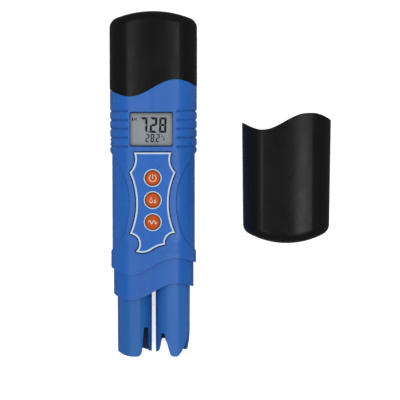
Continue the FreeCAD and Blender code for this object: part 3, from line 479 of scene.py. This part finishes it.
def lcd_material():
    """Grey display glass, a little uneven, with a fine reflector grain."""
    shader = Shader("lcd_glass")
    wide = shader.ramp(shader.noise(LCD_TONE_SCALE, 2), [(0.3, LCD_DARK), (0.7, LCD_PALE)])
    grain = shader.ramp(shader.noise(LCD_REFLECTOR_SCALE, 1), [(0.35, LCD_DARK), (0.65, LCD_PALE)])
    colour = shader.mix(shader.range(shader.noise(LCD_PATCH_SCALE, 2), 0.2, 0.5), wide, grain)
    shader.link(colour, shader.bsdf.inputs["Base Color"])
    shader.link(shader.range(shader.noise(LCD_GLOSS_SCALE, 3), 0.28, 0.42), shader.bsdf.inputs["Roughness"])
    shader.bump(shader.noise(LCD_GRAIN_SCALE, 1), FINE_GRAIN_DEPTH)
    return shader


def clear_material(name, base, alpha, roughness):
    """Clear plastic or thin glass, faintly smeared."""
    shader = Shader(name)
    darker, lighter = shades(base, CLEAR_SPREAD)
    colour = shader.ramp(shader.noise(CLEAR_TONE_SCALE, 3), [(0.3, darker), (0.7, lighter)])
    shader.link(colour, shader.bsdf.inputs["Base Color"])
    smear = shader.noise(CLEAR_SMEAR_SCALE, 4)
    shader.link(shader.range(smear, roughness * 0.7, roughness * 1.6), shader.bsdf.inputs["Roughness"])
    shader.set(Alpha=alpha)
    shader.bump(shader.noise(CLEAR_RIPPLE_SCALE, 2), CLEAR_RIPPLE_DEPTH)
    return shader


def painted_bore_shade(node):
    """Painted shade on the inside of a guard's bore, where little light reaches."""
    low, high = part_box(node)
    return ShadeZone((low + high) / 2, (1, 0, 1), *BORE_SHADE_REACH, True, BORE_SHADE_BLUE[node])


def painted_key_rim_shade(node):
    """Painted shade on the rim of a button's crown, as its dome turns from the light."""
    low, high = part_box(node)
    return ShadeZone((low + high) / 2, (1, 1, 0), *KEY_RIM_SHADE_REACH, False, RIM_SHADE_ORANGE)


def make_materials():
    """Every material by its slot or node name in the record, and the colours of the added marks and painted
    shadow lines.
    """
    made = {}
    made["blue_shell"] = moulded_plastic("blue_shell", BLUE, 0.28, wear=BLUE_WEAR)
    made["collar"] = moulded_plastic("collar", COLLAR_SHADED_BLUE, 0.3, wear=BLUE_WEAR)
    for node in GUARD_LIT_BLUE:
        made[node] = moulded_plastic(node, GUARD_LIT_BLUE[node], 0.36, wear=BLUE_WEAR, shade_zone=painted_bore_shade(node))
    made["cap_black"] = moulded_plastic("cap_black", BLACK, 0.28)
    for name, base, roughness in (("label_blue", LABEL_BLUE, 0.3), ("label_white", PALE, 0.4)):
        made[name] = moulded_plastic(name, base, roughness, grain=LABEL_GRAIN_DEPTH, soft_edge=LABEL_EDGE)
    for node in KEYS:
        made[node] = moulded_plastic(node, ORANGE, 0.5, spread=KEY_SPREAD, shade_zone=painted_key_rim_shade(node))
        made[node].set(Specular_IOR_Level=0.25)
    for name, (base, roughness) in INNER_PLASTICS.items():
        made[name] = moulded_plastic(name, base, roughness)
    for name, finish in METALS.items():
        made[name] = metal(name, *finish)
    made["lcd_glass"] = lcd_material()
    made["clear_window"] = clear_material("clear_window", WINDOW_TINT, 0.08, 0.1)
    made["sensor_glass"] = clear_material("sensor_glass", SENSOR_TINT, 0.45, 0.05)
    for name, base in INKS_AND_SHADOW_LINES.items():
        made[name] = flat_mark(name, base)
    return {name: shader.material for name, shader in made.items()}


# ---- mesh helpers -------------------------------------------------------------------------------
def middle_of(node):
    """The (x, y) middle of a CAD node."""
    low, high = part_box(node)
    return (low.x + high.x) / 2, (low.y + high.y) / 2


def new_piece(name, body, material, bm):
    """Turns a bmesh in the frame of the whole part into a piece that rides on a body."""
    mesh = bpy.data.meshes.new(name)
    bmesh.ops.recalc_face_normals(bm, faces=bm.faces)
    bm.to_mesh(mesh)
    bm.free()
    piece = bpy.data.objects.new(name, mesh)
    bpy.context.scene.collection.objects.link(piece)
    mesh.materials.append(material)
    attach(piece, body)


def add_plate(bm, outline, low_z, high_z):
    """A flat plate with an outline of (x, y) points in metres."""
    bottom = [bm.verts.new((x, y, low_z)) for x, y in outline]
    top = [bm.verts.new((x, y, high_z)) for x, y in outline]
    bm.faces.new(list(reversed(bottom)))
    bm.faces.new(top)
    count = len(outline)
    for index in range(count):
        following = (index + 1) % count
        bm.faces.new((bottom[index], bottom[following], top[following], top[index]))


def add_ribbon(bm, outer, inner, low_z, high_z, closed=True, base_at=None):
    """A band between two lines of (x, y) points with as many points each, flat or lying on base_at(x)."""
    rings = []
    for outline in (outer, inner):
        for z in (low_z, high_z):
            rings.append([bm.verts.new((x, y, z + (base_at(x) if base_at else 0.0))) for x, y in outline])
    outer_low, outer_high, inner_low, inner_high = rings
    count = len(outer)
    last = count if closed else count - 1
    for index in range(last):
        following = (index + 1) % count
        bm.faces.new((outer_low[index], outer_low[following], outer_high[following], outer_high[index]))
        bm.faces.new((inner_low[index], inner_low[following], inner_high[following], inner_high[index]))
        bm.faces.new((outer_high[index], outer_high[following], inner_high[following], inner_high[index]))
        bm.faces.new((outer_low[index], outer_low[following], inner_low[following], inner_low[index]))
    if not closed:
        for index in (0, count - 1):
            bm.faces.new((outer_low[index], outer_high[index], inner_high[index], inner_low[index]))


def line_band(points, width, closed=False):
    """The two sides of a band of even width that follows a line of (x, y) points."""
    outer = []
    inner = []
    count = len(points)
    for index, (x, y) in enumerate(points):
        if closed:
            before, after = points[index - 1], points[(index + 1) % count]
        else:
            before, after = points[max(index - 1, 0)], points[min(index + 1, count - 1)]
        along = Vector((after[0] - before[0], after[1] - before[1])).normalized()
        outer.append((x - along.y * width / 2, y + along.x * width / 2))
        inner.append((x + along.y * width / 2, y - along.x * width / 2))
    return outer, inner


def arc_points(centre, radius, start, end, steps):
    """Points round an arc, from start to end in degrees."""
    points = []
    for step in range(steps + 1):
        angle = math.radians(start + (end - start) * step / steps)
        points.append((centre[0] + radius * math.cos(angle), centre[1] + radius * math.sin(angle)))
    return points


def ring_points(centre, radius, count):
    """Points all round a circle, the first one not repeated at the end."""
    return arc_points(centre, radius, 0, 360 - 360 / count, count - 1)


def arc_through(start, middle, end, steps):
    """Points along the arc through three points, without its last one."""
    (ax, ay), (bx, by), (cx, cy) = start, middle, end
    double = 2 * (ax * (by - cy) + bx * (cy - ay) + cx * (ay - by))
    squares = [x * x + y * y for x, y in (start, middle, end)]
    ux = (squares[0] * (by - cy) + squares[1] * (cy - ay) + squares[2] * (ay - by)) / double
    uy = (squares[0] * (cx - bx) + squares[1] * (ax - cx) + squares[2] * (bx - ax)) / double
    radius = math.hypot(ax - ux, ay - uy)
    first = math.atan2(ay - uy, ax - ux)
    turn = math.remainder(math.atan2(cy - uy, cx - ux) - first, 2 * math.pi)
    angles = [first + turn * step / steps for step in range(steps)]
    return [(ux + radius * math.cos(angle), uy + radius * math.sin(angle)) for angle in angles]


def droplet_points(centre, radius, height):
    """A drop's outline: a round belly that runs up to a point."""
    points = []
    for step in range(DROP_STEPS):
        angle = 2 * math.pi * step / DROP_STEPS
        x = radius * math.sin(angle) * (0.5 - 0.5 * math.cos(angle)) ** DROP_TAPER
        y = height / 2 * math.cos(angle)
        points.append((centre[0] + x, centre[1] + y))
    return points


# ---- display ------------------------------------------------------------------------------------
SEGMENTS = {
    "7": "abc",
    "2": "abged",
    "8": "abcdefg",
}


def add_segment_digit(bm, shape, digit, corner, size, stroke):
    """One seven-segment digit; corner is its lower left, size its width and height."""
    left, low = corner
    width, height = size
    half = stroke / 2
    gap = SEGMENT_GAP
    middle = height / 2
    low_z, high_z = shape
    near, far = stroke + gap, width - stroke - gap
    bar_top = [(gap, height), (width - gap, height), (far, height - stroke), (near, height - stroke)]
    bar_middle = [(half + gap, middle), (near, middle - half), (far, middle - half)]
    bar_middle += [(width - half - gap, middle), (far, middle + half), (near, middle + half)]
    post = [(0, height - gap), (0, middle + gap), (half, middle + gap)]
    post += [(stroke, middle + half + gap), (stroke, height - stroke - gap)]

    def mirrored(points, across=False, down=False):
        return [(width - x if across else x, height - y if down else y) for x, y in points]

    bars = {
        "a": bar_top,
        "b": mirrored(post, across=True),
        "c": mirrored(post, across=True, down=True),
        "d": mirrored(bar_top, down=True),
        "e": mirrored(post, down=True),
        "f": post,
        "g": bar_middle,
    }
    for name in SEGMENTS[digit]:
        outline = [(left + x + (y - middle) * SEGMENT_SLANT, low + y) for x, y in bars[name]]
        add_plate(bm, outline, low_z, high_z)


def add_dot(bm, shape, centre, radius):
    """A round plate."""
    add_plate(bm, ring_points(centre, radius, COARSE_RING), *shape)


def add_stroke(bm, shape, points, width):
    """A plate of even width along an open line of (x, y) points."""
    outer, inner = line_band(points, width)
    add_ribbon(bm, outer, inner, *shape, closed=False)


def display_marks(materials):
    """The reading 7.28 over a smaller 28.2, with a small drop sign and a faint temperature sign."""
    centre_x, centre_y = middle_of("lcd_panel")
    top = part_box("lcd_panel")[1].z
    shape = (top, top + INK_THICKNESS)

    def at(x, y):
        return centre_x + x * MM, centre_y + y * MM

    bm = bmesh.new()
    for digit, x in zip("728", BIG_DIGITS_X):
        add_segment_digit(bm, shape, digit, at(x, BIG_DIGIT_Y), BIG_DIGIT_SIZE, BIG_STROKE)
    add_dot(bm, shape, at(*BIG_POINT), BIG_POINT_RADIUS)
    new_piece("lcd_reading", "pen", materials["lcd_ink"], bm)

    bm = bmesh.new()
    for digit, x in zip("282", SMALL_DIGITS_X):
        add_segment_digit(bm, shape, digit, at(x, SMALL_DIGIT_Y), SMALL_DIGIT_SIZE, SMALL_STROKE)
    add_dot(bm, shape, at(*SMALL_POINT), SMALL_POINT_RADIUS)
    new_piece("lcd_temperature", "pen", materials["lcd_ink"], bm)

    bm = bmesh.new()
    add_plate(bm, droplet_points(at(*SIGN_DROP), *SIGN_DROP_SIZE), *shape)
    for x, y in SIGN_BARS:
        ends = [at(x, y - SIGN_BAR_LENGTH / 2), at(x, y + SIGN_BAR_LENGTH / 2)]
        add_stroke(bm, shape, ends, SIGN_BAR_WIDTH)
    new_piece("lcd_drop_sign", "pen", materials["lcd_ink"], bm)

    bm = bmesh.new()
    circle = ring_points(at(*DEGREE_RING), DEGREE_RADIUS, COARSE_RING)
    outer, inner = line_band(circle, DEGREE_STROKE, True)
    add_ribbon(bm, outer, inner, *shape)
    stem_x, stem_top, bulb_y = THERMOMETER
    add_stroke(bm, shape, [at(stem_x, stem_top), at(stem_x, bulb_y)], THERMOMETER_STEM)
    add_dot(bm, (shape[0], shape[1] + INK_THICKNESS), at(stem_x, bulb_y), THERMOMETER_BULB)
    new_piece("lcd_degree_sign", "pen", materials["lcd_ink_faint"], bm)


def rounded_rectangle(centre, half_width, half_height, corner):
    """Points round a rectangle with round corners."""
    points = []
    turns = ((1, -1, -90), (1, 1, 0), (-1, 1, 90), (-1, -1, 180))
    for side_x, side_y, start in turns:
        middle = (centre[0] + side_x * (half_width - corner), centre[1] + side_y * (half_height - corner))
        points += arc_points(middle, corner, start, start + 90, WINDOW_SHADOW_CORNER_STEPS)
    return points


def front_z(x):
    """The height of the housing's front face at a place across the pen."""
    across = x - middle_of("label_border")[0]
    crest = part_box("label_border")[1].z - BORDER_PROUD
    return crest - FACE_RADIUS + math.sqrt(FACE_RADIUS ** 2 - across ** 2)


def finely(outline):
    """A closed outline with points added along each side, so that it can follow the curved face."""
    points = []
    for index, corner in enumerate(outline):
        start = Vector(corner)
        end = Vector(outline[(index + 1) % len(outline)])
        points += [tuple(start.lerp(end, step / WINDOW_SHADOW_STEPS)) for step in range(WINDOW_SHADOW_STEPS)]
    return points


def window_edge_shadow(materials):
    """A painted shadow line round the window's opening, where its recess walls cast shade, wider at its two
    ends.
    """
    low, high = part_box("lcd_window")
    centre = middle_of("lcd_window")
    half_width = (high.x - low.x) / 2
    half_height = (high.y - low.y) / 2
    bm = bmesh.new()
    reach = (half_width - WINDOW_SHADOW_OVERHANG, half_height - WINDOW_SHADOW_OVERHANG)
    inner = rounded_rectangle(centre, *reach, WINDOW_SHADOW_CORNER)
    outer = rounded_rectangle(centre, half_width + WINDOW_SHADOW_SIDE, half_height + WINDOW_SHADOW_END, WINDOW_SHADOW_CORNER)
    add_ribbon(bm, finely(outer), finely(inner), SHADOW_LINE_FLOOR, SHADOW_LINE_TOP, base_at=front_z)
    new_piece("window_edge_shadow", "pen", materials["window_shadow_colour"], bm)


# ---- label --------------------------------------------------------------------------------------
def label_shadow_line(materials):
    """A painted shadow line over the outer edge of the label's pale border, where shade falls at its
    recess.
    """
    centre_x = middle_of("label_border")[0]
    shift_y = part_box("label_border")[1].y - LABEL_ARCS[0][0][1] * MM
    points = []
    for arc in LABEL_ARCS:
        points += arc_through(*arc, LABEL_SHADOW_STEPS)
    points = [(centre_x + x * MM, shift_y + y * MM) for x, y in points]
    outer, _ = line_band(points, 2 * LABEL_SHADOW_OUTSIDE, True)
    _, inner = line_band(points, 2 * LABEL_SHADOW_INSIDE, True)
    bm = bmesh.new()
    add_ribbon(bm, outer, inner, SHADOW_LINE_FLOOR, BORDER_PROUD + SHADOW_LINE_TOP, base_at=front_z)
    new_piece("label_shadow_line", "pen", materials["label_shadow_colour"], bm)


def ring_shadow_lines(materials):
    """Thin painted shadow lines round the pale rings of the three buttons."""
    low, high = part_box("button_rings")
    radius = (high.x - low.x) / 2
    bm = bmesh.new()
    for node in KEYS:
        centre = middle_of(node)
        outer = ring_points(centre, radius + RING_SHADOW_OUTSIDE, FINE_RING)
        inner = ring_points(centre, radius - RING_SHADOW_INSIDE, FINE_RING)
        add_ribbon(bm, outer, inner, SHADOW_LINE_FLOOR, BORDER_PROUD + SHADOW_LINE_TOP, base_at=front_z)
    new_piece("ring_shadow_lines", "pen", materials["ring_shadow_colour"], bm)


# ---- signs on the buttons -----------------------------------------------------------------------
def key_top(node):
    """The middle of a button's crown and the two heights of a mark printed on it."""
    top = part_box(node)[1].z
    return middle_of(node), (top, top + INK_THICKNESS)


def power_sign(materials):
    """A ring open at the top with an upright bar."""
    centre, shape = key_top("power_button")
    bm = bmesh.new()
    add_stroke(bm, shape, arc_points(centre, POWER_RADIUS, *POWER_ARC, POWER_ARC_STEPS), KEY_STROKE)
    top = (centre[0], centre[1] + POWER_RADIUS + KEY_STROKE / 2)
    foot = (centre[0], centre[1] + POWER_BAR_FOOT)
    add_stroke(bm, shape, [top, foot], KEY_STROKE)
    new_piece("power_sign", "power_button", materials["key_ink"], bm)


def drop_sign(materials):
    """An open drop beside a smaller one, for the acidity reading."""
    centre, shape = key_top("ph_button")
    bm = bmesh.new()
    for x, y, radius, height in DROPS:
        place = (centre[0] + x, centre[1] + y)
        outline = droplet_points(place, radius, height)
        hole_place = (place[0], place[1] - DROP_HOLE_SHIFT)
        hole = droplet_points(hole_place, radius - KEY_STROKE, height - DROP_HOLE_CUT)
        add_ribbon(bm, outline, hole, *shape)
    new_piece("drop_sign", "ph_button", materials["key_ink"], bm)


def wave_sign(materials):
    """A wave with flat ends, for the voltage reading."""
    centre, shape = key_top("mv_button")
    points = []
    for step in range(WAVE_STEPS + 1):
        part = step / WAVE_STEPS
        x = centre[0] + (part - 0.5) * WAVE_LENGTH
        y = centre[1] + WAVE_HEIGHT / 2 * math.sin(2 * math.pi * WAVE_TURNS * part)
        points.append((x, y))
    bm = bmesh.new()
    add_stroke(bm, shape, points, KEY_STROKE)
    new_piece("wave_sign", "mv_button", materials["key_ink"], bm)


# ---- finishes on the CAD nodes -------------------------------------------------------------------
def dress_cad_nodes(materials):
    """Gives every CAD node its own finish, or the one of its slot in the record."""
    for row in frame["record"]["subparts"]:
        node = nodes[row["node"]]
        node.data.materials.clear()
        node.data.materials.append(materials.get(row["node"]) or materials[row["material_slot"]])
        for polygon in node.data.polygons:
            polygon.material_index = 0


# ---- stage --------------------------------------------------------------------------------------
def floor():
    """A plain pale floor that glows a little, so that it stays even to its far edge."""
    bm = bmesh.new()
    bmesh.ops.create_grid(bm, x_segments=FLOOR_SQUARES, y_segments=FLOOR_SQUARES, size=FLOOR_HALF_SIZE)
    mesh = bpy.data.meshes.new("floor")
    bm.to_mesh(mesh)
    bm.free()
    plane = bpy.data.objects.new("floor", mesh)
    bpy.context.scene.collection.objects.link(plane)
    shader = Shader("floor")
    shader.set(Roughness=0.9, Emission_Color=(1.0, 1.0, 1.0, 1.0), Emission_Strength=FLOOR_GLOW)
    shader.set(Specular_IOR_Level=0.1)
    colour = shader.ramp(shader.noise(FLOOR_TONE_SCALE, 2), [(0.3, FLOOR_DARK), (0.7, FLOOR_PALE)])
    shader.link(colour, shader.bsdf.inputs["Base Color"])
    mesh.materials.append(shader.material)
    plane.visible_glossy = False


def area_light(name, place, target, size, power, mirrored):
    """A soft light; one that isn't mirrored gives even light without a highlight."""
    light = bpy.data.lights.new(name, "AREA")
    light.shape = "RECTANGLE"
    light.size, light.size_y = size
    light.energy = power
    lamp = bpy.data.objects.new(name, light)
    bpy.context.scene.collection.objects.link(lamp)
    lamp.location = place
    lamp.rotation_mode = "QUATERNION"
    lamp.rotation_quaternion = (Vector(target) - Vector(place)).to_track_quat("-Z", "Y")
    lamp.visible_glossy = mirrored


def lights():
    """Strips that show as highlights, and large soft lights that don't."""
    world = bpy.data.worlds.new("studio")
    world.use_nodes = True
    background = world.node_tree.nodes["Background"]
    background.inputs["Color"].default_value = (1.0, 1.0, 1.0, 1.0)
    background.inputs["Strength"].default_value = SKY_STRENGTH
    bpy.context.scene.world = world
    for name, setting in MIRRORED_LIGHTS.items():
        area_light(name, *setting, mirrored=True)
    for name, setting in EVEN_LIGHTS.items():
        area_light(name, *setting, mirrored=False)


def camera():
    """A long lens nearly straight over the pen, a little towards its battery cap."""
    tilt = math.radians(CAMERA_TILT)
    back = Vector((0.0, math.sin(tilt), math.cos(tilt)))
    data = bpy.data.cameras.new("camera")
    data.sensor_width = CAMERA_SENSOR
    data.lens = CAMERA_LENS
    data.clip_start, data.clip_end = CAMERA_CLIP
    view = bpy.data.objects.new("camera", data)
    bpy.context.scene.collection.objects.link(view)
    view.location = Vector(CAMERA_AIM) + back * CAMERA_DISTANCE
    view.rotation_euler = (-tilt, 0.0, 0.0)
    bpy.context.scene.camera = view


floor()
lights()
camera()
finishes = make_materials()
dress_cad_nodes(finishes)
display_marks(finishes)
label_shadow_line(finishes)
ring_shadow_lines(finishes)
window_edge_shadow(finishes)
power_sign(finishes)
drop_sign(finishes)
wave_sign(finishes)
bpy.context.scene.view_settings.view_transform = "Standard"
